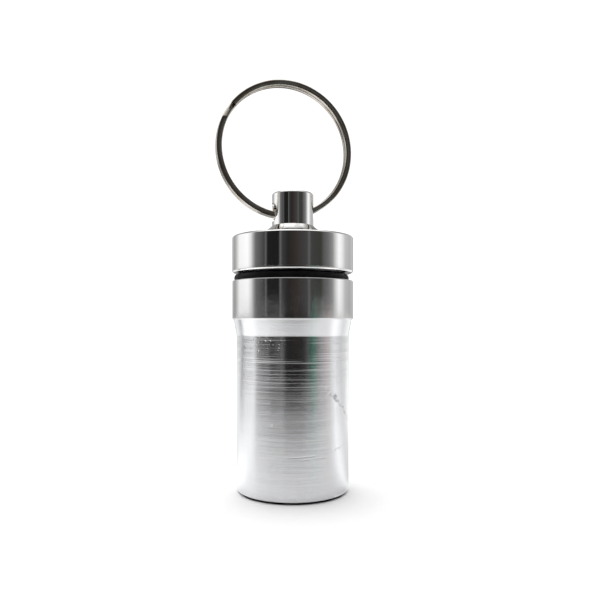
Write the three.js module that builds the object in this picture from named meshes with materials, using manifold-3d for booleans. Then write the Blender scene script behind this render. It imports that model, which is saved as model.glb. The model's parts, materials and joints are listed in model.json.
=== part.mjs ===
// Key-ring pill fob: a turned aluminium bottle and its screw cap, a rubber O-ring between them,
// and a steel split ring through the lug on top of the cap.
// Millimetres, +Z up. The origin is the centre of the flat base that the bottle stands on.
import * as THREE from 'three';
import { mergeVertices } from 'three/addons/utils/BufferGeometryUtils.js';
import Module from 'manifold-3d';

const wasm = await Module();
wasm.setup();

// Facets round every turned piece. Nut and screw share them, so that their flats line up.
const SIDES = 48;

// Bottle, outside
const BODY_RADIUS = 8.1;
const BASE_CHAMFER = 0.4;
const CONE_BOTTOM_Z = 22.45;
const CONE_TOP_RADIUS = 8.52;
const COLLAR_RADIUS = 8.72;
const COLLAR_BOTTOM_Z = 24.85;
const COLLAR_TOP_Z = 30.3;
const COLLAR_CHAMFER = 0.12;

// Bottle, seat of the O-ring and neck
const SEAT_DEPTH = 0.35;
const SEAT_RADIUS = 8.45;
const NECK_RADIUS = 6.4;
const NECK_TOP_Z = 34.9;
const NECK_CHAMFER = 0.3;

// Bottle, inside
const BORE_RADIUS = 5.5;
const BORE_FLOOR_Z = 2;
const BORE_CHAMFER = 0.2;
const BORE_CORNER_RADIUS = 1;

// O-ring, lying a little off centre on its seat
const O_RING_SECTION = 1.4;
const O_RING_OUTER_RADIUS = 8.3;
const O_RING_GAP = 0.03;
const O_RING_OFFSET_X = -0.17;
const O_RING_SECTION_SIDES = 12;

// Cap
const CAP_RADIUS = 8.75;
const CAP_BOTTOM_Z = 31.45;
const CAP_TOP_Z = 36.65;
const CAP_BOTTOM_CHAMFER = 0.2;
const CAP_TOP_CHAMFER = 0.25;
const CAP_BORE_RADIUS = 7.15;
const CAP_BORE_CHAMFER = 0.3;
const CAP_CEILING_Z = 35.35;

// Lug on the cap, with a concave foot
const LUG_RADIUS = 3;
const LUG_TOP_Z = 43;
const LUG_CHAMFER = 0.2;
const FOOT_ARC_RADIUS = 5.6;
const FOOT_ARC_ANGLE = Math.PI / 4;
const FOOT_ARC_STEPS = 6;

// Cross-hole of the lug, turned about the upright axis with the ring that hangs in it
const HOLE_RADIUS = 1.3;
const HOLE_Z = 40.2;
const HOLE_MOUTH_RADIUS = 1.6;
const HOLE_MOUTH_FROM = 2.6;
const HOLE_MOUTH_TO = 3.2;
const HOLE_SIDES = 24;
const RING_YAW = THREE.MathUtils.degToRad(15);

// Screw thread of the neck and the cap
const THREAD_PITCH = 1;
const NECK_CREST_RADIUS = 6.9;
const CAP_CREST_RADIUS = 6.6;
const THREAD_ROOT_WIDTH = 0.64;
const THREAD_CREST_WIDTH = 0.2;
const THREAD_SINK = 0.15;
const THREAD_RUNOUT_TURNS = 0.12;
const NECK_THREAD_START_Z = 31.75;
const NECK_THREAD_TURNS = 2.5;
const CAP_THREAD_START_Z = 32.25;
const CAP_THREAD_TURNS = 2.4;

// Split ring: one flat wire wound twice round, which crosses from one layer to the other at its jog
const RING_OUTER_RADIUS = 10;
const WIRE_RADIAL = 0.82;
const WIRE_AXIAL = 0.7;
const WIRE_CORNER = 0.12;
const LAYER_STEP = 0.76;
const RING_STEPS_PER_TURN = 72;
const JOG_AT = THREE.MathUtils.degToRad(150);
const JOG_TURNS = 0.035;
const WIRE_END_GAP_TURNS = 0.006;
const RING_CENTRE_ALONG_HOLE = -1.2;
const RING_CENTRE_Z = 49.27;

const aluminium = new THREE.MeshStandardMaterial({
  name: 'bright_aluminium',
  color: 0xd6d8d9,
  metalness: 1,
  roughness: 0.16,
});
const satinAluminium = new THREE.MeshStandardMaterial({
  name: 'satin_aluminium',
  color: 0xcfd1d3,
  metalness: 1,
  roughness: 0.34,
});
const blackRubber = new THREE.MeshStandardMaterial({
  name: 'black_rubber',
  color: 0x1b1b1c,
  metalness: 0,
  roughness: 0.6,
});
const springSteel = new THREE.MeshStandardMaterial({
  name: 'nickelled_spring_steel',
  color: 0x9c968c,
  metalness: 1,
  roughness: 0.25,
});

// A path that winds round +Z. Its frames point along the radius and the axis, so a section that
// is swept along it never twists.
class Winding extends THREE.Curve {
  constructor(turns, startAngle, radiusAt, heightAt) {
    super();
    this.turns = turns;
    this.startAngle = startAngle;
    this.radiusAt = radiusAt;
    this.heightAt = heightAt;
  }

  angle(t) {
    return this.startAngle + 2 * Math.PI * this.turns * t;
  }

  getPoint(t) {
    const radius = this.radiusAt(this.turns * t);
    const angle = this.angle(t);
    return new THREE.Vector3(
      radius * Math.cos(angle),
      radius * Math.sin(angle),
      this.heightAt(this.turns * t),
    );
  }

  // ExtrudeGeometry asks for evenly spaced points, and this path is even in its own parameter.
  getSpacedPoints(steps) {
    return this.getPoints(steps);
  }

  computeFrenetFrames(steps) {
    const frames = { tangents: [], normals: [], binormals: [] };
    for (let i = 0; i <= steps; i += 1) {
      const angle = this.angle(i / steps);
      frames.tangents.push(new THREE.Vector3(-Math.sin(angle), Math.cos(angle), 0));
      frames.normals.push(new THREE.Vector3(Math.cos(angle), Math.sin(angle), 0));
      frames.binormals.push(new THREE.Vector3(0, 0, -1));
    }
    return frames;
  }
}

function point(x, y) {
  return new THREE.Vector2(x, y);
}

// A profile of (radius, height) points turned round +Z.
function turned(profile, sides = SIDES) {
  return new THREE.LatheGeometry(profile, sides).rotateX(Math.PI / 2);
}

function arc(centreX, centreY, radius, fromAngle, toAngle, steps) {
  const points = [];
  for (let i = 0; i <= steps; i += 1) {
    const angle = fromAngle + ((toAngle - fromAngle) * i) / steps;
    points.push(point(centreX + radius * Math.cos(angle), centreY + radius * Math.sin(angle)));
  }
  return points;
}

function toSolid(geometry) {
  const bare = geometry.clone();
  bare.deleteAttribute('normal');
  bare.deleteAttribute('uv');
  const merged = mergeVertices(bare);
  const corners = Array.from(merged.index.array);
  const triangles = [];
  for (let i = 0; i < corners.length; i += 3) {
    const [a, b, c] = corners.slice(i, i + 3);
    if (a !== b && b !== c && c !== a) {
      triangles.push(a, b, c);
    }
  }
  return new wasm.Manifold(
    new wasm.Mesh({
      numProp: 3,
      vertProperties: new Float32Array(merged.attributes.position.array),
      triVerts: new Uint32Array(triangles),
    }),
  );
}

function toGeometry(solid) {
  const mesh = solid.getMesh();
  const geometry = new THREE.BufferGeometry();
  geometry.setAttribute('position', new THREE.BufferAttribute(mesh.vertProperties, 3));
  geometry.setIndex(new THREE.BufferAttribute(mesh.triVerts, 1));
  geometry.computeVertexNormals();
  return geometry;
}

// One start of screw thread. It stands out from rootRadius towards crestRadius, and at both ends
// it sinks into the wall that it is cut on, as a turned thread runs out.
function threadRidge(rootRadius, crestRadius, startZ, turns) {
  const outwards = Math.sign(crestRadius - rootRadius);
  const height = Math.abs(crestRadius - rootRadius);
  const section = new THREE.Shape([
    point(-outwards * THREAD_SINK, -THREAD_ROOT_WIDTH / 2),
    point(0, -THREAD_ROOT_WIDTH / 2),
    point(outwards * height, -THREAD_CREST_WIDTH / 2),
    point(outwards * height, THREAD_CREST_WIDTH / 2),
    point(0, THREAD_ROOT_WIDTH / 2),
    point(-outwards * THREAD_SINK, THREAD_ROOT_WIDTH / 2),
  ]);
  const radiusAt = (turn) => {
    const fromEnd = Math.min(turn, turns - turn) / THREAD_RUNOUT_TURNS;
    const sunk = Math.max(0, 1 - fromEnd);
    return rootRadius - outwards * height * sunk;
  };
  const heightAt = (turn) => startZ + THREAD_PITCH * turn;
  return new THREE.ExtrudeGeometry(section, {
    steps: Math.round(turns * SIDES),
    bevelEnabled: false,
    extrudePath: new Winding(turns, 0, radiusAt, heightAt),
  });
}

function named(name, geometry, material) {
  const mesh = new THREE.Mesh(geometry, material);
  mesh.name = name;
  return mesh;
}

function bottle() {
  const seatZ = COLLAR_TOP_Z - SEAT_DEPTH;
  const body = turned([
    point(0, 0),
    point(BODY_RADIUS - BASE_CHAMFER, 0),
    point(BODY_RADIUS, BASE_CHAMFER),
    point(BODY_RADIUS, CONE_BOTTOM_Z),
    point(CONE_TOP_RADIUS, COLLAR_BOTTOM_Z - COLLAR_CHAMFER),
    point(COLLAR_RADIUS, COLLAR_BOTTOM_Z),
    point(COLLAR_RADIUS, COLLAR_TOP_Z - COLLAR_CHAMFER),
    point(COLLAR_RADIUS - COLLAR_CHAMFER, COLLAR_TOP_Z),
    point(SEAT_RADIUS, COLLAR_TOP_Z),
    point(SEAT_RADIUS, seatZ),
    point(NECK_RADIUS, seatZ),
    point(NECK_RADIUS, NECK_TOP_Z - NECK_CHAMFER),
    point(NECK_RADIUS - NECK_CHAMFER, NECK_TOP_Z),
    point(BORE_RADIUS + BORE_CHAMFER, NECK_TOP_Z),
    point(BORE_RADIUS, NECK_TOP_Z - BORE_CHAMFER),
    ...arc(
      BORE_RADIUS - BORE_CORNER_RADIUS,
      BORE_FLOOR_Z + BORE_CORNER_RADIUS,
      BORE_CORNER_RADIUS,
      0,
      -Math.PI / 2,
      3,
    ),
    point(0, BORE_FLOOR_Z),
  ]);
  const thread = threadRidge(NECK_RADIUS, NECK_CREST_RADIUS, NECK_THREAD_START_Z, NECK_THREAD_TURNS);
  return named('bottle', toGeometry(toSolid(body).add(toSolid(thread))), satinAluminium);
}

function oRing() {
  const sectionRadius = O_RING_SECTION / 2;
  const ring = new THREE.TorusGeometry(
    O_RING_OUTER_RADIUS - sectionRadius,
    sectionRadius,
    O_RING_SECTION_SIDES,
    SIDES,
  );
  const mesh = named('o_ring', ring, blackRubber);
  mesh.position.set(O_RING_OFFSET_X, 0, COLLAR_TOP_Z - SEAT_DEPTH + O_RING_GAP + sectionRadius);
  return mesh;
}

function cap() {
  const footArcX = LUG_RADIUS + FOOT_ARC_RADIUS * Math.cos(FOOT_ARC_ANGLE);
  const body = turned([
    point(0, CAP_CEILING_Z),
    point(CAP_BORE_RADIUS, CAP_CEILING_Z),
    point(CAP_BORE_RADIUS, CAP_BOTTOM_Z + CAP_BORE_CHAMFER),
    point(CAP_BORE_RADIUS + CAP_BORE_CHAMFER, CAP_BOTTOM_Z),
    point(CAP_RADIUS - CAP_BOTTOM_CHAMFER, CAP_BOTTOM_Z),
    point(CAP_RADIUS, CAP_BOTTOM_Z + CAP_BOTTOM_CHAMFER),
    point(CAP_RADIUS, CAP_TOP_Z - CAP_TOP_CHAMFER),
    point(CAP_RADIUS - CAP_TOP_CHAMFER, CAP_TOP_Z),
    ...arc(
      footArcX,
      CAP_TOP_Z + FOOT_ARC_RADIUS,
      FOOT_ARC_RADIUS,
      -Math.PI / 2,
      -Math.PI + FOOT_ARC_ANGLE,
      FOOT_ARC_STEPS,
    ),
    point(LUG_RADIUS, LUG_TOP_Z - LUG_CHAMFER),
    point(LUG_RADIUS - LUG_CHAMFER, LUG_TOP_Z),
    point(0, LUG_TOP_Z),
  ]);
  const thread = threadRidge(CAP_BORE_RADIUS, CAP_CREST_RADIUS, CAP_THREAD_START_Z, CAP_THREAD_TURNS);
  const drill = turned(
    [
      point(0, -HOLE_MOUTH_TO),
      point(HOLE_MOUTH_RADIUS, -HOLE_MOUTH_TO),
      point(HOLE_RADIUS, -HOLE_MOUTH_FROM),
      point(HOLE_RADIUS, HOLE_MOUTH_FROM),
      point(HOLE_MOUTH_RADIUS, HOLE_MOUTH_TO),
      point(0, HOLE_MOUTH_TO),
    ],
    HOLE_SIDES,
  );
  drill.rotateY(Math.PI / 2).rotateZ(RING_YAW).translate(0, 0, HOLE_Z);
  const solid = toSolid(body).add(toSolid(thread)).subtract(toSolid(drill));
  return named('cap', toGeometry(solid), aluminium);
}

function keyRing() {
  const halfRadial = WIRE_RADIAL / 2;
  const halfAxial = WIRE_AXIAL / 2;
  const section = new THREE.Shape([
    point(halfRadial - WIRE_CORNER, -halfAxial),
    point(halfRadial, -halfAxial + WIRE_CORNER),
    point(halfRadial, halfAxial - WIRE_CORNER),
    point(halfRadial - WIRE_CORNER, halfAxial),
    point(-halfRadial + WIRE_CORNER, halfAxial),
    point(-halfRadial, halfAxial - WIRE_CORNER),
    point(-halfRadial, -halfAxial + WIRE_CORNER),
    point(-halfRadial + WIRE_CORNER, -halfAxial),
  ]);
  // The wire starts just past the jog, passes through it once, and ends just before it.
  const startTurn = JOG_TURNS / 2 + WIRE_END_GAP_TURNS;
  const turns = 2 - 2 * startTurn;
  const heightAt = (turn) => {
    const throughJog = (turn + startTurn - 1) / JOG_TURNS + 0.5;
    return LAYER_STEP * (THREE.MathUtils.smoothstep(throughJog, 0, 1) - 0.5);
  };
  const radiusAt = () => RING_OUTER_RADIUS - halfRadial;
  const geometry = new THREE.ExtrudeGeometry(section, {
    steps: Math.round(turns * RING_STEPS_PER_TURN),
    bevelEnabled: false,
    extrudePath: new Winding(turns, JOG_AT + 2 * Math.PI * startTurn, radiusAt, heightAt),
  });
  const mesh = named('key_ring', geometry.rotateX(Math.PI / 2), springSteel);
  mesh.position.set(
    RING_CENTRE_ALONG_HOLE * Math.cos(RING_YAW),
    RING_CENTRE_ALONG_HOLE * Math.sin(RING_YAW),
    RING_CENTRE_Z,
  );
  mesh.rotation.z = RING_YAW;
  return mesh;
}

const fob = new THREE.Group();
fob.add(bottle(), oRing(), cap(), keyRing());

export default fob;
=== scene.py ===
import json
import math

import bmesh
import bpy
from mathutils import Matrix, Vector


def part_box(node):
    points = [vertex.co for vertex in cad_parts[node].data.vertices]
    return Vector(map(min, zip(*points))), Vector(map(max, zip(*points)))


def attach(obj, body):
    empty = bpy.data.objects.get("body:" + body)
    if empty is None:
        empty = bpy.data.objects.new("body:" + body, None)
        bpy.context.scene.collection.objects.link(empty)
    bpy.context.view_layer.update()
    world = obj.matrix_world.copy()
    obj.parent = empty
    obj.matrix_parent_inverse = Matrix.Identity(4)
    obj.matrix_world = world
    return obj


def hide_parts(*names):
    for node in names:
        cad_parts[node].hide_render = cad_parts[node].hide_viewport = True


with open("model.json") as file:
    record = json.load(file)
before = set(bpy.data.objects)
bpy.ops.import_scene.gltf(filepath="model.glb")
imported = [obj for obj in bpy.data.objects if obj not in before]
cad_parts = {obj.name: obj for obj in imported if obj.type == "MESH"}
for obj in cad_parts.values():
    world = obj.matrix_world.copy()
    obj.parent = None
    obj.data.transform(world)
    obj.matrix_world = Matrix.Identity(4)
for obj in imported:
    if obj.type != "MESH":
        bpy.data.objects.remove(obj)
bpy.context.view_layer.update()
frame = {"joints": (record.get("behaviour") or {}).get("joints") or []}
MM = 0.001


# ---------------------------------------------------------------------------------------------
# Bottle
# A solid aluminium bar turned into a slim bottle: satin body, short cone, bright collar, a seat
# for the O-ring, a threaded neck and a drilled blind bore. It is left bare, and carries the fine
# rings of the lathe tool, a patch of pitting under the cone and a few scratches from handling.

bottle_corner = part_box("bottle")[1] / MM
COLLAR_RADIUS = bottle_corner.x
NECK_TOP = bottle_corner.z
BODY_RADIUS = 8.1
FOOT_CHAMFER = 0.42
CONE_BOTTOM = 22.45
CONE_TOP_RADIUS = 8.52
COLLAR_BOTTOM = 24.85
COLLAR_TOP = 30.3
SEAT_FLOOR = COLLAR_TOP - 0.35
SEAT_RADIUS = 8.45
NECK_RADIUS = 6.4
NECK_CREST = 6.9
BORE_RADIUS = 5.5
BORE_FLOOR = 2.0
THREAD_PITCH = 1.0
TURNED_SIDES = 192
SHARP_EDGE = math.radians(35)


def eased(corners, steps=4):
    """The outline through (radius, height, ease) corners, with each corner rounded off by its ease."""
    points = []
    for i, (radius, height, ease) in enumerate(corners):
        here = Vector((radius, height))
        if ease == 0:
            points.append(here)
            continue
        before = Vector(corners[i - 1][:2]) - here
        after = Vector(corners[i + 1][:2]) - here
        start = here + before.normalized() * min(ease, before.length / 2)
        end = here + after.normalized() * min(ease, after.length / 2)
        for step in range(steps + 1):
            t = step / steps
            points.append(start * (1 - t) ** 2 + here * 2 * t * (1 - t) + end * t**2)
    return points


def circle(mesh, radius, height, sides):
    """Adds the points of a level circle to a mesh that is being built, from mm."""
    angles = [2 * math.pi * side / sides for side in range(sides)]
    return [mesh.verts.new(Vector((radius * math.cos(a), radius * math.sin(a), height)) * MM) for a in angles]


def bridge(mesh, low, high):
    """Adds the band of faces between two closed loops of as many points."""
    for i in range(len(low)):
        ahead = (i + 1) % len(low)
        corners = [low[i], low[ahead], high[ahead], high[i]]
        mesh.faces.new(list(dict.fromkeys(corners)))


def turn(mesh, outline, longest=4.0, sides=TURNED_SIDES):
    """Adds the outline, turned round the upright axis, to a mesh that is being built."""
    points = [outline[0]]
    for point in outline[1:]:
        start = points[-1]
        gap = point - start
        cuts = max(1, math.ceil(gap.length / longest))
        points += [start + gap * (cut + 1) / cuts for cut in range(cuts)]
    rings = []
    for radius, height in points:
        on_axis = radius < 1e-6
        rings.append(circle(mesh, 0, height, 1) * sides if on_axis else circle(mesh, radius, height, sides))
    for low, high in zip(rings, rings[1:]):
        bridge(mesh, low, high)


def wind(mesh, loops):
    """Adds a solid that runs through the loops, closed at both its ends."""
    for low, high in zip(loops, loops[1:]):
        bridge(mesh, low, high)
    mesh.faces.new(loops[0])
    mesh.faces.new(loops[-1])


def cut_thread(mesh, root, crest, start, turns, root_width=0.64, crest_width=0.2, runout=0.12, steps=96):
    """Adds a screw thread's ridge, its foot buried in the wall. Its ends sink in as the tool runs out."""
    out = 1 if crest > root else -1
    depth = abs(crest - root)
    buried = 0.1
    flank = 0.05
    corner = 0.03
    upper_half = [
        (depth, crest_width / 2 - corner),
        (depth - flank, crest_width / 2 + flank),
        (corner, root_width / 2 - corner),
        (-buried, root_width / 2 + flank),
    ]
    profile = [(away, -up) for away, up in reversed(upper_half)] + upper_half
    count = round(turns * steps)
    loops = []
    for step in range(count + 1):
        turned = turns * step / count
        sunk = max(0.0, 1 - min(turned, turns - turned) / runout) * depth
        angle = 2 * math.pi * turned
        loop = []
        for away, up in profile:
            radius = root + out * (away - sunk)
            height = start + THREAD_PITCH * turned + up
            point = Vector((radius * math.cos(angle), radius * math.sin(angle), height))
            loop.append(mesh.verts.new(point * MM))
        loops.append(loop)
    wind(mesh, loops)


def object_of(name, mesh, materials=()):
    """Makes an object of a built mesh and the materials that its faces number."""
    data = bpy.data.meshes.new(name)
    mesh.to_mesh(data)
    mesh.free()
    for material in materials:
        data.materials.append(material)
    made = bpy.data.objects.new(name, data)
    bpy.context.scene.collection.objects.link(made)
    return made


def finish_piece(name, mesh, materials, body, material_of=None):
    """Makes a piece of a built mesh, smooth between its sharp edges, that stands for its CAD body."""
    bmesh.ops.recalc_face_normals(mesh, faces=mesh.faces[:])
    piece = object_of(name, mesh, materials)
    for face in piece.data.polygons:
        face.use_smooth = True
        if material_of:
            face.material_index = material_of(face.center / MM)
    piece.data.set_sharp_from_angle(angle=SHARP_EDGE)
    weighted = piece.modifiers.new("even_highlights", "WEIGHTED_NORMAL")
    weighted.keep_sharp = True
    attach(piece, body)
    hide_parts(body)


def new_material(name, values):
    """A material of one shader, with the values set on the shader's own sockets."""
    material = bpy.data.materials.new(name)
    material.use_nodes = True
    shader = material.node_tree.nodes["Principled BSDF"]
    for key, value in values.items():
        shader.inputs[key].default_value = value
    return material, material.node_tree, shader


def node(tree, kind, links=None, values=None, **settings):
    """Adds a shader node with its settings, its socket values and the outputs that feed it."""
    made = tree.nodes.new(kind)
    for key, value in settings.items():
        setattr(made, key, value)
    for key, value in (values or {}).items():
        made.inputs[key].default_value = value
    for key, output in (links or {}).items():
        tree.links.new(output, made.inputs[key])
    return made


def maths(tree, operation, first, second=0.0):
    """One maths node on two outputs, or on an output and a number."""
    made = tree.nodes.new("ShaderNodeMath")
    made.operation = operation
    for socket, value in zip(made.inputs, (first, second)):
        if isinstance(value, (int, float)):
            socket.default_value = value
        else:
            tree.links.new(value, socket)
    return made.outputs[0]


def times(tree, first, second):
    """The product of two outputs, or of an output and a number."""
    return maths(tree, "MULTIPLY", first, second)


def plus(tree, first, second):
    """The sum of two outputs, or of an output and a number."""
    return maths(tree, "ADD", first, second)


def faded(tree, value, low, high, to_low=0.0, to_high=1.0):
    """Maps a value from low..high to to_low..to_high, smoothly."""
    ends = {"From Min": low, "From Max": high, "To Min": to_low, "To Max": to_high}
    made = node(tree, "ShaderNodeMapRange", {"Value": value}, ends, interpolation_type="SMOOTHSTEP")
    return made.outputs["Result"]


def blend_of(tree, factor, first, second):
    """A colour that goes from the first to the second as the factor goes from 0 to 1."""
    made = node(tree, "ShaderNodeMix", {"Factor": factor}, data_type="RGBA")
    made.inputs["A"].default_value = (*first, 1)
    made.inputs["B"].default_value = (*second, 1)
    return made.outputs["Result"]


def mottle(tree, place, size, detail):
    """Grey noise with blotches of about a size in mm."""
    values = {"Scale": 1 / (size * MM), "Detail": detail}
    return node(tree, "ShaderNodeTexNoise", {"Vector": place}, values).outputs[0]


def tool_rings(tree, place, spacing, wander=30.0, detail=2.0):
    """Grey noise in rings round the upright axis, as the lathe tool leaves them."""
    squeeze = {"Scale": (wander, wander, 1 / (spacing * MM))}
    stretched = node(tree, "ShaderNodeMapping", {"Vector": place}, squeeze).outputs[0]
    values = {"Scale": 1.0, "Detail": detail, "Roughness": 0.6}
    return node(tree, "ShaderNodeTexNoise", {"Vector": stretched}, values).outputs[0]


def along_axes(tree, place):
    """The x, y and z of a place or a direction."""
    return node(tree, "ShaderNodeSeparateXYZ", {"Vector": place}).outputs


def heading_of(tree, x, y):
    """The angle round the upright axis, with 0 at the front and growing towards the right."""
    return maths(tree, "ARCTAN2", x, times(tree, y, -1.0))


def score_marks(tree, place, height, strength, above):
    """Fine lines that tilt the surface down, or a little up, and grow deeper towards the top."""
    light = faded(tree, tool_rings(tree, place, 0.13, wander=45.0, detail=1.0), 0.5, 0.74)
    deep = faded(tree, tool_rings(tree, place, 0.11, wander=90.0, detail=1.0), 0.5, 0.72)
    lines = maths(tree, "SUBTRACT", times(tree, deep, 0.5), light)
    where = faded(tree, height, (above - 3) * MM, (above + 4) * MM)
    depth = faded(tree, height, (above + 2) * MM, (above + 10) * MM, strength, strength * 2.2)
    return times(tree, times(tree, lines, where), depth)


def turned_aluminium(
    name, colour, roughness, pitch, tilt, lean=0.0, uneven=0.0, scored=0.0, scored_above=0.0
):
    """Bare aluminium with the shallow grooves of a turning tool, whose walls tilt it up and down.

    The pitch is in mm and the tilt in degrees. Lean tilts it all one way, uneven drifts the tilt from
    ring to ring, and scored adds score marks above a height in mm.
    """
    look = {"Metallic": 1.0, "Anisotropic": 0.6, "Anisotropic Rotation": 0.25, "Specular IOR Level": 0.5}
    material, tree, metal = new_material(name, look)
    round_the_axis = node(tree, "ShaderNodeTangent", direction_type="RADIAL", axis="Z")
    tree.links.new(round_the_axis.outputs[0], metal.inputs["Tangent"])
    space = node(tree, "ShaderNodeTexCoord").outputs
    place = space["Object"]
    fine = tool_rings(tree, place, pitch * 2)
    broad = tool_rings(tree, place, pitch * 12, wander=70.0)
    tint = blend_of(tree, broad, [c * 0.96 for c in colour], colour)
    tree.links.new(tint, metal.inputs["Base Color"])
    gloss = faded(tree, fine, 0.25, 0.75, roughness * 0.9, roughness * 1.1)
    tree.links.new(gloss, metal.inputs["Roughness"])

    height = along_axes(tree, place)["Z"]
    grooves = plus(tree, times(tree, height, 1 / (pitch * MM)), fine)
    wall = maths(tree, "SUBTRACT", maths(tree, "FRACT", grooves), 0.5)
    tilted = times(tree, wall, 2 * math.tan(math.radians(tilt)))
    drift = times(tree, maths(tree, "SUBTRACT", broad, 0.5), uneven)
    tilted = plus(tree, plus(tree, tilted, drift), lean)
    if scored:
        tilted = plus(tree, tilted, score_marks(tree, place, height, scored, scored_above))
    upward = node(tree, "ShaderNodeCombineXYZ", {"Z": tilted}).outputs[0]
    grooved = node(tree, "ShaderNodeVectorMath", {0: space["Normal"], 1: upward}, operation="ADD")
    turn_to_world = {"vector_type": "NORMAL", "convert_from": "OBJECT", "convert_to": "WORLD"}
    facing = node(tree, "ShaderNodeVectorTransform", {"Vector": grooved.outputs[0]}, **turn_to_world)
    relief = {"Strength": 1.0, "Distance": 0.001 * MM}
    bump = node(tree, "ShaderNodeBump", {"Normal": facing.outputs[0]}, relief)
    tree.links.new(bump.outputs[0], metal.inputs["Normal"])
    return material, tree, place, bump


BODY_COLOUR = (0.87, 0.875, 0.89)
satin, tree, place, bump = turned_aluminium(
    "satin_turned_aluminium", BODY_COLOUR, 0.12, 0.07, 11.0, uneven=0.06, scored=0.075, scored_above=12
)

# Rings that the tool cut a little deeper, thickest in the upper half of the body.
x, y, z = along_axes(tree, place)
deeper = faded(tree, tool_rings(tree, place, 0.32, wander=20.0, detail=3.0), 0.45, 0.75)
upper_half = faded(tree, z, 8 * MM, 14 * MM)
relief = times(tree, times(tree, deeper, upper_half), 1.6)

# A patch of small pits under the cone, where the bar was not quite sound.
PIT_PATCH = (-3.4, -7.3, 21.3)
PIT_REACH = (3.4, 3.4, 1.4)
PIT_SPACING = 0.6
PIT_DEPTH = 28.0
patch = {
    "Location": [-centre / reach for centre, reach in zip(PIT_PATCH, PIT_REACH)],
    "Scale": [1 / (reach * MM) for reach in PIT_REACH],
}
from_patch = node(tree, "ShaderNodeMapping", {"Vector": place}, patch).outputs[0]
reach = node(tree, "ShaderNodeVectorMath", {0: from_patch}, operation="LENGTH").outputs["Value"]
spread = {"Scale": 1 / (PIT_SPACING * MM), "Randomness": 1.0}
pits = node(tree, "ShaderNodeTexVoronoi", {"Vector": place}, spread).outputs["Distance"]
pitted = times(tree, faded(tree, pits, 0.26, 0.1), faded(tree, reach, 1.0, 0.55))
relief = plus(tree, relief, times(tree, pitted, -PIT_DEPTH))


def scratch(tree, place, start, end, width):
    """A mask of one rough scratch between two (angle, height) points, in degrees and mm."""
    x, y, z = along_axes(tree, place)
    along = maths(tree, "SUBTRACT", heading_of(tree, x, y), math.radians(start[0]))
    along = times(tree, along, 1 / math.radians(end[0] - start[0]))
    line = plus(tree, times(tree, along, (end[1] - start[1]) * MM), start[1] * MM)
    stray = maths(tree, "SUBTRACT", mottle(tree, place, 0.8, 5.0), 0.5)
    off = plus(tree, maths(tree, "SUBTRACT", z, line), times(tree, stray, 6 * width * MM))
    near = faded(tree, maths(tree, "ABSOLUTE", off), width * MM, width * MM * 0.3)
    inside = times(tree, faded(tree, along, -0.05, 0.1), faded(tree, along, 1.05, 0.9))
    broken = faded(tree, mottle(tree, place, 0.5, 2.0), 0.4, 0.56)
    return times(tree, times(tree, near, inside), broken)


# Where each scratch starts and ends, its width in mm, and its depth in thousandths of a mm. The
# first four make one rough knock, and the rest are light marks.
for start, end, width, depth in (
    ((35, 15.2), (47, 14.2), 0.35, 90.0),
    ((42, 14.4), (56, 13.4), 0.4, 110.0),
    ((50, 13.8), (66, 11.8), 0.5, 110.0),
    ((60, 12.2), (74, 10.4), 0.4, 110.0),
    ((43, 7.0), (72, 7.5), 0.16, 50.0),
    ((-4, 6.35), (26, 6.5), 0.10, 18.0),
    ((2, 6.05), (34, 6.15), 0.08, 12.0),
    ((-22, 10.4), (-18.5, 10.5), 0.16, 60.0),
):
    mark = scratch(tree, place, start, end, width)
    relief = plus(tree, relief, times(tree, mark, -depth))
tree.links.new(relief, bump.inputs["Height"])

stepped = turned_aluminium("turned_cone_aluminium", BODY_COLOUR, 0.2, 0.07, 9.0, lean=-0.175, uneven=0.04)[0]
bright = turned_aluminium("bright_turned_aluminium", (0.91, 0.91, 0.905), 0.07, 0.06, 1.5, uneven=0.012)[0]
bored = turned_aluminium("bored_aluminium", (0.84, 0.845, 0.85), 0.3, 0.12, 10.0, uneven=0.1)[0]

mesh = bmesh.new()
bottle_outline = [
    (0, 0, 0),
    (BODY_RADIUS - FOOT_CHAMFER, 0, 0.1),
    (BODY_RADIUS, FOOT_CHAMFER, 0.2),
    (BODY_RADIUS, CONE_BOTTOM, 0.25),
    (CONE_TOP_RADIUS, COLLAR_BOTTOM - 0.1, 0.05),
    (COLLAR_RADIUS, COLLAR_BOTTOM, 0.06),
    (COLLAR_RADIUS, COLLAR_TOP - 0.1, 0.05),
    (COLLAR_RADIUS - 0.1, COLLAR_TOP, 0.04),
    (SEAT_RADIUS, COLLAR_TOP, 0.03),
    (SEAT_RADIUS, SEAT_FLOOR, 0.08),
    (NECK_RADIUS, SEAT_FLOOR, 0.12),
    (NECK_RADIUS, NECK_TOP - 0.3, 0.08),
    (NECK_RADIUS - 0.3, NECK_TOP, 0.06),
    (BORE_RADIUS + 0.2, NECK_TOP, 0.06),
    (BORE_RADIUS, NECK_TOP - 0.2, 0.06),
    (BORE_RADIUS, BORE_FLOOR, 1.0),
    (0, BORE_FLOOR, 0),
]
turn(mesh, eased(bottle_outline))
cut_thread(mesh, NECK_RADIUS, NECK_CREST, start=31.75, turns=2.5)


def bottle_finish(centre):
    """Which of the bottle's four finishes a face has: satin, stepped, bright or bored."""
    radius = math.hypot(centre.x, centre.y)
    on_seat_or_neck = centre.z > SEAT_FLOOR - 0.01 and radius < SEAT_RADIUS + 0.01
    in_bore = radius < BORE_RADIUS + 0.25 and centre.z > BORE_FLOOR - 0.01
    if on_seat_or_neck or in_bore:
        return 3
    if centre.z > COLLAR_BOTTOM - 0.11:
        return 2
    return 1 if centre.z > CONE_BOTTOM and radius > BODY_RADIUS else 0


finish_piece("turned_bottle", mesh, [satin, stepped, bright, bored], "bottle", bottle_finish)


# ---------------------------------------------------------------------------------------------
# O-ring
# A bought nitrile rubber seal. It lies loose on the bottle's seat, round the neck, a little off
# centre, and the cap squeezes it when it is screwed down. It was moulded in two halves, so a
# hair of flash runs round its widest line.

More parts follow.
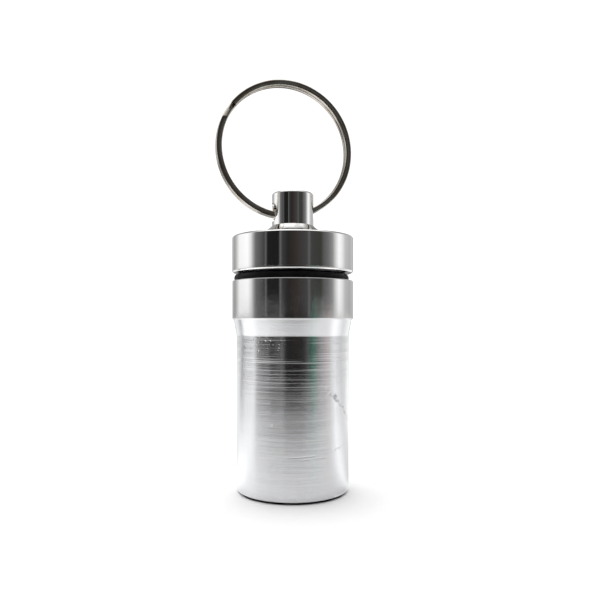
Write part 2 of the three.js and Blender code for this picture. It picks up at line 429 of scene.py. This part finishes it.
seal_low, seal_high = (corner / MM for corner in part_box("o_ring"))
SEAL_SECTION = seal_high.z - seal_low.z
SEAL_CENTRE = (seal_low + seal_high) / 2
SEAL_MIDDLE_RADIUS = (seal_high.x - seal_low.x - SEAL_SECTION) / 2
SEAL_SIDES = 32
FLASH = 0.02

rubber, tree, skin = new_material("black_nitrile_rubber", {"Specular IOR Level": 0.12, "IOR": 1.5})
place = node(tree, "ShaderNodeTexCoord").outputs["Object"]
grain = mottle(tree, place, 0.12, 4.0)
bloom = mottle(tree, place, 1.6, 3.0)
dusty = blend_of(tree, faded(tree, bloom, 0.45, 0.75), (0.004, 0.004, 0.005), (0.012, 0.012, 0.012))
tree.links.new(dusty, skin.inputs["Base Color"])
tree.links.new(faded(tree, bloom, 0.3, 0.7, 0.38, 0.62), skin.inputs["Roughness"])
rough = node(tree, "ShaderNodeBump", {"Height": grain}, {"Strength": 0.5, "Distance": 0.02 * MM})
tree.links.new(rough.outputs[0], skin.inputs["Normal"])

section = []
for step in range(SEAL_SIDES):
    angle = 2 * math.pi * step / SEAL_SIDES
    proud = FLASH if step in (0, SEAL_SIDES // 2) else 0.0
    reach = SEAL_SECTION / 2 - FLASH + proud
    outward = Vector((math.cos(angle), math.sin(angle)))
    section.append(Vector((SEAL_MIDDLE_RADIUS, SEAL_CENTRE.z)) + reach * outward)
mesh = bmesh.new()
turn(mesh, [*section, section[0]])
bmesh.ops.remove_doubles(mesh, verts=mesh.verts[:], dist=1e-6)
bmesh.ops.translate(mesh, verts=mesh.verts[:], vec=(SEAL_CENTRE.x * MM, SEAL_CENTRE.y * MM, 0))
finish_piece("rubber_seal", mesh, [rubber], "o_ring")


# ---------------------------------------------------------------------------------------------
# Cap
# Turned from one aluminium bar with its lug: a short bright cylinder with eased rims, a hollow
# foot that sweeps up into the lug, and a thread inside. The lug is cross-drilled for the ring,
# and both mouths of the hole are deburred.

cap_low, cap_high = (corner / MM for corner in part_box("cap"))
CAP_RADIUS = cap_high.x
CAP_BOTTOM = cap_low.z
LUG_TOP = cap_high.z
CAP_TOP = 36.65
CAP_BORE = 7.15
CAP_CREST = 6.6
CAP_CEILING = 35.35
LUG_RADIUS = 3.0
LUG_CHAMFER = 0.18
FOOT_SWEEP = 5.6
FOOT_STEPS = 12
HOLE_RADIUS = 1.3
HOLE_MOUTH_RADIUS = 1.65
HOLE_MOUTH_FROM = 2.6
HOLE_MOUTH_TO = 3.3

swing = next(joint for joint in frame["joints"] if joint["name"] == "ring_swing")
HOLE_AXIS = Vector(swing["axis"]).normalized()
HOLE_HEIGHT = swing["pos_m"][2]

foot_centre = Vector((LUG_RADIUS + FOOT_SWEEP * math.cos(math.pi / 4), CAP_TOP + FOOT_SWEEP))
foot = []
for step in range(FOOT_STEPS + 1):
    angle = -math.pi / 2 - math.pi / 4 * step / FOOT_STEPS
    foot.append(foot_centre + FOOT_SWEEP * Vector((math.cos(angle), math.sin(angle))))
shell = [
    (0, CAP_CEILING, 0),
    (CAP_BORE, CAP_CEILING, 0.2),
    (CAP_BORE, CAP_BOTTOM + 0.3, 0.05),
    (CAP_BORE + 0.3, CAP_BOTTOM, 0.05),
    (CAP_RADIUS - 0.2, CAP_BOTTOM, 0.05),
    (CAP_RADIUS, CAP_BOTTOM + 0.2, 0.06),
    (CAP_RADIUS, CAP_TOP - 0.2, 0.1),
    (CAP_RADIUS - 0.2, CAP_TOP, 0.1),
    (*foot[0], 0),
]
lug = [
    (*foot[-1], 0),
    (LUG_RADIUS, LUG_TOP - LUG_CHAMFER, 0.1),
    (LUG_RADIUS - LUG_CHAMFER, LUG_TOP, 0.1),
    (0, LUG_TOP, 0),
]
mesh = bmesh.new()
turn(mesh, [*eased(shell), *foot[1:], *eased(lug)[1:]], longest=0.5)
bmesh.ops.recalc_face_normals(mesh, faces=mesh.faces[:])
blank = object_of("cap_blank", mesh)

half_drill = [(HOLE_RADIUS, HOLE_MOUTH_FROM), (HOLE_MOUTH_RADIUS, HOLE_MOUTH_TO), (0, HOLE_MOUTH_TO)]
drill_outline = [(radius, -along) for radius, along in reversed(half_drill)] + half_drill
mesh = bmesh.new()
turn(mesh, [Vector(point) for point in drill_outline], sides=64)
bmesh.ops.recalc_face_normals(mesh, faces=mesh.faces[:])
drill = object_of("drill", mesh)
aimed = Vector((0, 0, 1)).rotation_difference(HOLE_AXIS).to_matrix().to_4x4()
drill.matrix_world = Matrix.Translation((0, 0, HOLE_HEIGHT)) @ aimed

drilled = blank.modifiers.new("cross_hole", "BOOLEAN")
drilled.operation = "DIFFERENCE"
drilled.solver = "EXACT"
drilled.object = drill
bpy.context.view_layer.update()
cut = blank.evaluated_get(bpy.context.evaluated_depsgraph_get())
mesh = bmesh.new()
mesh.from_mesh(cut.to_mesh())
cut.to_mesh_clear()
for each in (blank, drill):
    bpy.data.objects.remove(each)
cut_thread(mesh, CAP_BORE, CAP_CREST, start=32.25, turns=2.4)


def cap_finish(centre):
    """The cap is bright outside and as bored inside."""
    radius = math.hypot(centre.x, centre.y)
    return 1 if centre.z < CAP_CEILING + 0.01 and radius < CAP_BORE + 0.2 else 0


finish_piece("turned_cap", mesh, [bright, bored], "cap", cap_finish)


# ---------------------------------------------------------------------------------------------
# Split ring
# Flat spring-steel wire with rounded edges, wound twice round, hardened and nickel plated. The
# two layers lie side by side. At the jog the wire crosses from one layer to the other, and the
# two cut ends lie on either side of it.

ring_low, ring_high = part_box("key_ring")
RING_CENTRE = (ring_low + ring_high) / 2
RING_RADIUS = (ring_high.z - ring_low.z) / 2 / MM
WIRE_RADIAL = 0.82
WIRE_AXIAL = 0.7
LAYER_STEP = 0.76
JOG_ANGLE = math.radians(150)
JOG_TURNS = 0.035
END_GAP_TURNS = 0.006
STEPS_PER_TURN = 200

steel, tree, plate = new_material("nickel_plated_spring_steel", {"Metallic": 1.0, "Specular IOR Level": 0.5})
place = node(tree, "ShaderNodeTexCoord").outputs["Object"]
tarnish = faded(tree, mottle(tree, place, 2.4, 4.0), 0.35, 0.7)
grain = mottle(tree, place, 0.09, 3.0)
tree.links.new(blend_of(tree, tarnish, (0.72, 0.68, 0.62), (0.5, 0.44, 0.37)), plate.inputs["Base Color"])
tree.links.new(faded(tree, grain, 0.3, 0.7, 0.11, 0.17), plate.inputs["Roughness"])
rough = node(tree, "ShaderNodeBump", {"Height": grain}, {"Strength": 0.2, "Distance": 0.002 * MM})
tree.links.new(rough.outputs[0], plate.inputs["Normal"])


def wire_section(radial, axial, ease=0.16, steps=3):
    """The wire's section, a rectangle with round corners, as (out, across) points."""
    points = []
    for quarter, (out, across) in enumerate(((1, 1), (-1, 1), (-1, -1), (1, -1))):
        centre = Vector((out * (radial / 2 - ease), across * (axial / 2 - ease)))
        for step in range(steps + 1):
            angle = math.pi / 2 * (quarter + step / steps)
            points.append(centre + ease * Vector((math.cos(angle), math.sin(angle))))
    return points


section = wire_section(WIRE_RADIAL, WIRE_AXIAL)
first = JOG_TURNS / 2 + END_GAP_TURNS
wound = 2 - 2 * first
count = round(wound * STEPS_PER_TURN)
mesh = bmesh.new()
loops = []
for step in range(count + 1):
    at = first + wound * step / count
    crossed = min(1.0, max(0.0, (at - 1) / JOG_TURNS + 0.5))
    layer = LAYER_STEP * (crossed - 0.5)
    angle = JOG_ANGLE + 2 * math.pi * at
    loop = []
    for out, across in section:
        radius = RING_RADIUS - WIRE_RADIAL / 2 + out
        point = Vector((radius * math.cos(angle), -layer - across, radius * math.sin(angle)))
        loop.append(mesh.verts.new(point * MM))
    loops.append(loop)
wind(mesh, loops)
ring_yaw = math.atan2(HOLE_AXIS.y, HOLE_AXIS.x)
stand = Matrix.Translation(RING_CENTRE) @ Matrix.Rotation(ring_yaw, 4, "Z")
bmesh.ops.transform(mesh, matrix=stand, verts=mesh.verts[:])
finish_piece("split_ring", mesh, [steel], "key_ring")


# ---------------------------------------------------------------------------------------------
# Table
# The fob stands on white paper. The metal mirrors more tones than the plain floor shows, so
# sheets that only the metal sees lie a hair above it: the paper with the tent's painted shade,
# painted reflections and shade past the paper's edge, and a ring of painted contact shadow under the foot.

TABLE_HALF = 3.0
PAPER_SIDE = 0.1
PAPER_FRONT = 0.038
PAPER_CORNERS = ((-0.8, 1), (-1, 0.7), (-1, -0.3), (-0.45, -1), (0.45, -1), (1, -0.3), (1, 0.7), (0.8, 1))
SHEET_LIFT = 0.4
SHADE_FROM = 8.8
# Where the ring of painted contact shadow lies under the bottle's foot, in mm.
CONTACT_SHADOW_LIFT = 0.02
CONTACT_SHADOW_FROM = 7.6
CONTACT_SHADOW_TO = 8.22
CONTACT_SHADOW_SIDES = 64

paper, tree, sheet = new_material("white_paper", {"Roughness": 0.8, "Specular IOR Level": 0.0})
place = node(tree, "ShaderNodeTexCoord").outputs["Object"]
white = blend_of(tree, mottle(tree, place, 1 / 0.9, 4.0), (0.88, 0.88, 0.885), (0.92, 0.92, 0.925))
tree.links.new(white, sheet.inputs["Base Color"])

mesh = bmesh.new()
bmesh.ops.create_grid(mesh, x_segments=2, y_segments=2, size=TABLE_HALF)
table_top = object_of("table_top", mesh, [paper])


def tones_by_heading(tree, place, tones):
    """A colour for each heading round the upright axis, from (degrees, colour) pairs; 0 is the front."""
    x, y, z = along_axes(tree, place)
    turned = plus(tree, times(tree, heading_of(tree, x, y), 1 / (2 * math.pi)), 0.5)
    ramp = node(tree, "ShaderNodeValToRGB", {"Fac": turned})
    stops = ramp.color_ramp.elements
    for degrees, tone in tones:
        at = degrees / 360 + 0.5
        stop = stops[0] if at == 0 else stops[-1] if at == 1 else stops.new(at)
        stop.color = (*tone, 1) if isinstance(tone, tuple) else (tone, tone, tone, 1)
    return ramp.outputs[0]


def toned_sheet(name, tones):
    """A matt sheet whose tone changes with the heading."""
    material, tree, sheet = new_material(name, {"Roughness": 1.0, "Specular IOR Level": 0.0})
    place = node(tree, "ShaderNodeTexCoord").outputs["Object"]
    tree.links.new(tones_by_heading(tree, place, tones), sheet.inputs["Base Color"])
    return material


# Painted reflection and shade: the tone the metal mirrors past the paper's edge at each heading, darkest at
# the front.
painted_reflection_tones = (
    (-180, 0.12),
    (-166, 0.3),
    (-155, 0.7),
    (-133, 0.6),
    (-117, 0.1),
    (-92, 0.04),
    (-85, 0.2),
    (-79, 0.33),
    (-74, 0.14),
    (-69, 0.18),
    (-68, 0.09),
    (-50, 0.07),
    (-40, 0.06),
    (-28, 0.12),
    (-17, 0.09),
    (-12, 0.01),
    (18, 0.0),
    (30, 0.04),
    (37, (0.03, 0.1, 0.075)),
    (42, (0.055, 0.21, 0.14)),
    (46, (0.12, 0.17, 0.15)),
    (56, 0.30),
    (64, 0.37),
    (70, (0.52, 0.42, 0.405)),
    (81, 0.52),
    (92, 0.30),
    (100, 0.2),
    (119, 0.57),
    (155, 0.8),
    (166, 0.3),
    (180, 0.12),
)
paper_tones = (
    (-180, 0.5),
    (-150, 0.56),
    (-136, 0.72),
    (-112, 0.92),
    (-86, 0.93),
    (-73, 0.78),
    (-40, 0.81),
    (0, 0.84),
    (30, 0.79),
    (52, 0.69),
    (65, 0.63),
    (78, 0.66),
    (92, 0.95),
    (104, 0.8),
    (119, 0.60),
    (160, 0.54),
    (180, 0.5),
)
painted_reflections = toned_sheet("painted_reflection_sheets", painted_reflection_tones)
shaded = toned_sheet("shaded_paper", paper_tones)
# Painted contact shadow: a near-black ring under the foot, which the foot's chamfer mirrors as a dark line at
# the base.
contact_shadow = new_material("painted_contact_shadow", {"Base Color": (0.02, 0.02, 0.02, 1), "Specular IOR Level": 0.0})[0]

mesh = bmesh.new()
table_edge = TABLE_HALF * 0.9
lift = SHEET_LIFT * MM
foot_edge = []
paper_edge = []
far_edge = []
for x, y in PAPER_CORNERS:
    corner = Vector((x * PAPER_SIDE, y * PAPER_FRONT, 0))
    foot_edge.append(mesh.verts.new(corner.normalized() * SHADE_FROM * MM + Vector((0, 0, lift))))
    paper_edge.append(mesh.verts.new(corner + Vector((0, 0, lift))))
    far_edge.append(mesh.verts.new((x * table_edge, y * table_edge, lift)))
contact_shadow_edges = [circle(mesh, radius, CONTACT_SHADOW_LIFT, CONTACT_SHADOW_SIDES) for radius in (CONTACT_SHADOW_FROM, CONTACT_SHADOW_TO)]
bands = ((paper_edge, far_edge, 0), (foot_edge, paper_edge, 1), (*contact_shadow_edges, 2))
for inner, outer, material_index in bands:
    for i in range(len(inner)):
        face = mesh.faces.new([inner[i - 1], outer[i - 1], outer[i], inner[i]])
        face.material_index = material_index
# The sheets of painted reflection and shade, seen only by the metal.
painted_reflection_sheets = object_of("painted_reflection_sheets", mesh, (painted_reflections, shaded, contact_shadow))
painted_reflection_sheets.visible_camera = False
painted_reflection_sheets.visible_diffuse = False
painted_reflection_sheets.visible_shadow = False


# ---------------------------------------------------------------------------------------------
# Light tent
# A small white tent with an open front. Tall white panels to the left and right give the metal
# its two bright edges, and the dark front, where the camera stands, its dark middle. Soft
# light comes from above and a little from behind.

wall_tones = (
    (-180, 0.22),
    (-160, 0.55),
    (-140, 0.37),
    (-129, 0.62),
    (-118, 1.01),
    (-92, 1.12),
    (-83, 0.8),
    (-78, 0.42),
    (-72, 0.16),
    (-53, 0.055),
    (-50, 0.14),
    (-47, 0.015),
    (-25, 0.012),
    (-22, 0.15),
    (-19, 0.05),
    (-8, 0.022),
    (3, (0.036, 0.028, 0.025)),
    (27, 0.06),
    (31, 0.12),
    (35, 0.055),
    (54, (0.044, 0.044, 0.038)),
    (60, 0.10),
    (70, 0.16),
    (80, 0.29),
    (89, 0.75),
    (97, 1.08),
    (106, 0.92),
    (117, 0.58),
    (136, 0.48),
    (155, 0.58),
    (166, 0.3),
    (180, 0.22),
)
tent = bpy.data.worlds.new("light_tent")
bpy.context.scene.world = tent
tent.use_nodes = True
tree = tent.node_tree
tree.nodes.clear()
heading = node(tree, "ShaderNodeTexCoord").outputs["Generated"]
x, y, z = along_axes(tree, heading)

# The metal mirrors the walls, dimmer towards the top and the table, and the ceiling over them.
walls = tones_by_heading(tree, heading, wall_tones)
brightness = times(tree, faded(tree, z, 0.25, 0.75, 1.0, 0.35), faded(tree, z, -0.02, 0.12, 0.85, 1.0))
lit_walls = node(tree, "ShaderNodeVectorMath", {0: walls, "Scale": brightness}, operation="SCALE").outputs[0]
ceiling = faded(tree, z, 0.68, 0.92, 0.0, 0.95)
inside = node(tree, "ShaderNodeVectorMath", {0: lit_walls, 1: ceiling}, operation="ADD").outputs[0]
mirrored = node(tree, "ShaderNodeBackground", {"Color": inside}, {"Strength": 1.0}).outputs[0]

# The light on the table comes from above, most of it from behind and from the left.
from_behind = maths(tree, "SUBTRACT", plus(tree, times(tree, y, 0.85), 1.0), times(tree, x, 0.3))
from_above = times(tree, faded(tree, z, 0.0, 0.5, 0.0, 1.5), from_behind)
lighting = node(tree, "ShaderNodeBackground", {"Strength": from_above}, {"Color": (1, 1, 1, 1)}).outputs[0]

# Behind the fob there is only white.
white = {"Color": (1, 1, 1, 1), "Strength": 1.12}
backdrop = node(tree, "ShaderNodeBackground", None, white).outputs[0]

ray = node(tree, "ShaderNodeLightPath").outputs
seen = node(tree, "ShaderNodeMixShader", {0: ray["Is Camera Ray"], 1: mirrored, 2: backdrop}).outputs[0]
all_light = node(tree, "ShaderNodeMixShader", {0: ray["Is Diffuse Ray"], 1: seen, 2: lighting}).outputs[0]
node(tree, "ShaderNodeOutputWorld", {"Surface": all_light})

PANEL_PLACE = Vector((-0.06, 0.02, 0.34))
PANEL_AIM = Vector((0, 0, 0.02))
lamp = bpy.data.lights.new("overhead_panel", "AREA")
lamp.shape = "RECTANGLE"
lamp.size = 0.36
lamp.size_y = 0.30
lamp.energy = 0.1
panel = bpy.data.objects.new("overhead_panel", lamp)
panel.location = PANEL_PLACE
panel.rotation_euler = (PANEL_AIM - PANEL_PLACE).to_track_quat("-Z", "Y").to_euler()
bpy.context.scene.collection.objects.link(panel)


# ---------------------------------------------------------------------------------------------
# Camera
# Held level, a hand's breadth away and just below the height of the collar.

lens = bpy.data.cameras.new("close_camera")
lens.sensor_width = 36.0
lens.lens = 37.5
lens.shift_y = 0.0358
lens.clip_start = 0.002
lens.clip_end = 20.0
camera = bpy.data.objects.new("close_camera", lens)
camera.location = Vector((1.06, -90.9, 24.45)) * MM
camera.rotation_euler = (math.pi / 2, 0, 0)
bpy.context.scene.collection.objects.link(camera)
bpy.context.scene.camera = camera
bpy.context.scene.view_settings.view_transform = "Standard"
